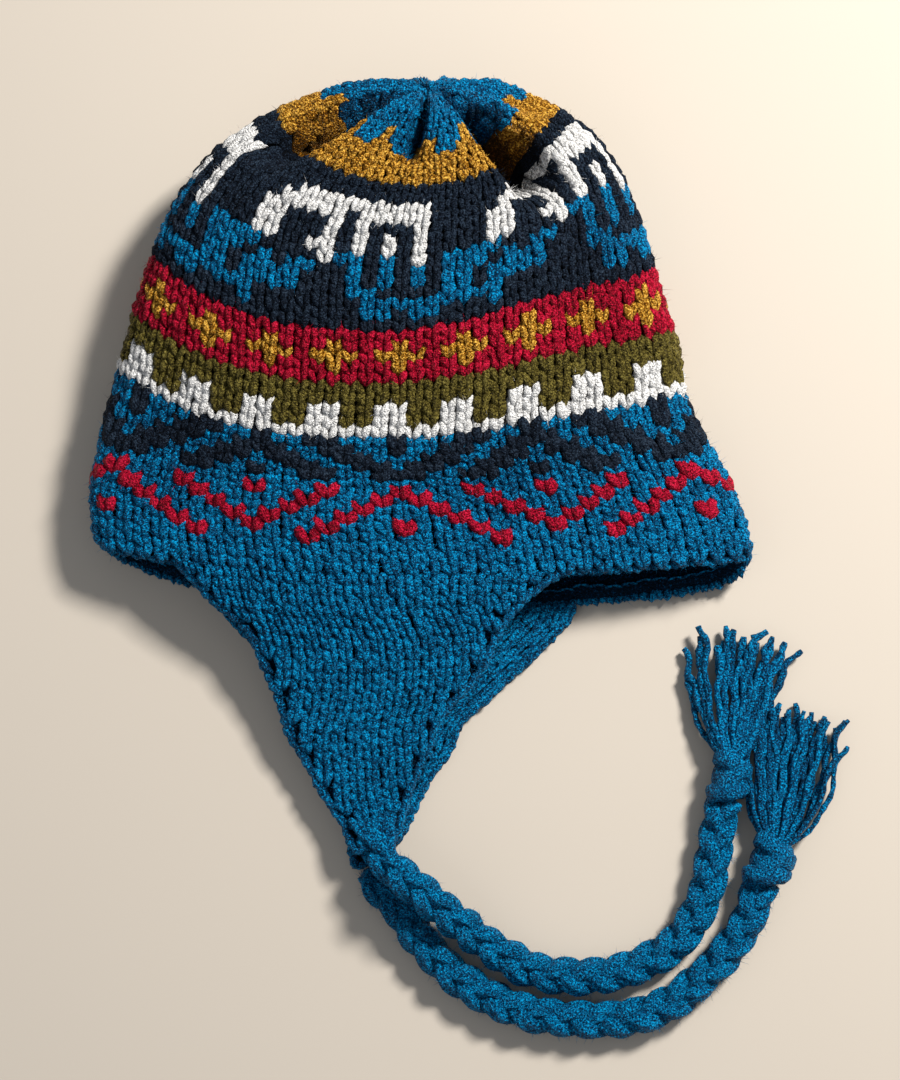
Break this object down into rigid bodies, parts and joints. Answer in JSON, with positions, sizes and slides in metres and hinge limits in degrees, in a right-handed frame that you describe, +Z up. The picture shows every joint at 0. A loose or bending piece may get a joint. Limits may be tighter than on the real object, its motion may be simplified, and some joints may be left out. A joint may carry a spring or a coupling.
{
  "type": "chullo hat",
  "caption": "Knitted cap with ear flaps, braided ties and tassels, lying on its side with its brim open; worn on the head to warm it and the ears.",
  "frame": {"origin": "on the surface that the hat lies on, under the middle of the cap and flaps", "axes": "+Y from the flap tips to the gathered crown, +X to the side that the ties lie on, +Z up"},
  "size_m": [0.2683, 0.3433, 0.05],
  "materials": {
    "patterned_knit": "soft brushed knit in blue with navy, red, olive, white and gold bands",
    "crown_knit": "soft brushed knit in blue with a gold zigzag ring",
    "blue_knit": "soft brushed knit in bright blue with a slight sparkle",
    "blue_braid": "braided blue yarn with a slight sparkle",
    "tassel_yarn": "loose blue yarn ends"
  },
  "bodies": {
    "root": {"cap_body": "patterned_knit", "crown": "crown_knit", "ear_flap_upper": "blue_knit", "ear_flap_under": "blue_knit", "tie_upper": "blue_braid", "tie_under": "blue_braid", "tie_knot_upper": "blue_braid", "tie_knot_under": "blue_braid", "tassel_upper": "tassel_yarn", "tassel_under": "tassel_yarn"}
  },
  "joints": []
}
